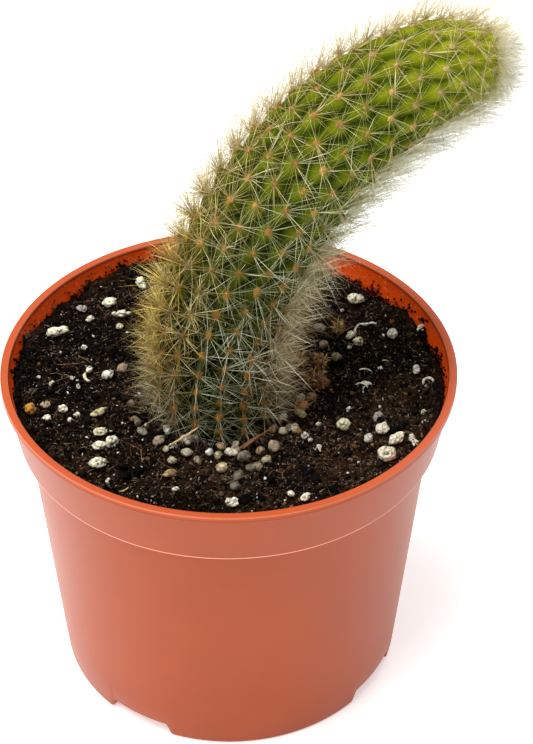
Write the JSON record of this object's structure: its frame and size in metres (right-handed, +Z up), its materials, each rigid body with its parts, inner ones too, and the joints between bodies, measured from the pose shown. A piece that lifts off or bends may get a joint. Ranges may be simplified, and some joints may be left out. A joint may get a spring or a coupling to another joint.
{
  "type": "potted monkey tail cactus",
  "caption": "Round plastic nursery pot of dark peat and perlite, with one thick, ribbed, densely spined cactus stem that arches over to one side.",
  "frame": {"origin": "under the middle of the whole plant's box, on the surface that the pot stands on", "axes": "+Z up, the longest side of the box; +X towards the side that the stem arches to; +Y to the back, as seen in the picture"},
  "size_m": [0.0999, 0.09, 0.1482],
  "materials": {
    "pot_plastic": "satin",
    "peat_soil": "matte",
    "cactus_flesh": "satin",
    "perlite": "matte",
    "gravel": "matte",
    "bark": "matte",
    "dry_plant": "matte",
    "feed_bead": "satin"
  },
  "bodies": {
    "root": {"pot": "pot_plastic", "soil": "peat_soil", "cactus": "cactus_flesh", "perlite_01": "perlite", "perlite_02": "perlite", "perlite_03": "perlite", "perlite_04": "perlite", "perlite_05": "perlite", "perlite_06": "perlite", "perlite_07": "perlite", "perlite_08": "perlite", "perlite_09": "perlite", "perlite_10": "perlite", "perlite_11": "perlite", "perlite_12": "perlite", "perlite_13": "perlite", "perlite_14": "perlite", "perlite_15": "perlite", "perlite_16": "perlite", "perlite_17": "perlite", "perlite_18": "perlite", "perlite_19": "perlite", "perlite_20": "perlite", "perlite_21": "perlite", "perlite_22": "perlite", "perlite_23": "perlite", "perlite_24": "perlite", "perlite_25": "perlite", "perlite_26": "perlite", "perlite_27": "perlite", "perlite_28": "perlite", "perlite_29": "perlite", "perlite_30": "perlite", "perlite_31": "perlite", "perlite_32": "perlite", "gravel_01": "gravel", "gravel_02": "gravel", "gravel_03": "gravel", "gravel_04": "gravel", "gravel_05": "gravel", "gravel_06": "gravel", "gravel_07": "gravel", "gravel_08": "gravel", "gravel_09": "gravel", "gravel_10": "gravel", "gravel_11": "gravel", "gravel_12": "gravel", "gravel_13": "gravel", "gravel_14": "gravel", "gravel_15": "gravel", "gravel_16": "gravel", "gravel_17": "gravel", "bark_lump": "bark", "tan_clod": "dry_plant", "husk": "dry_plant", "feed_bead": "feed_bead", "straw": "dry_plant", "twig": "bark"}
  },
  "joints": []
}
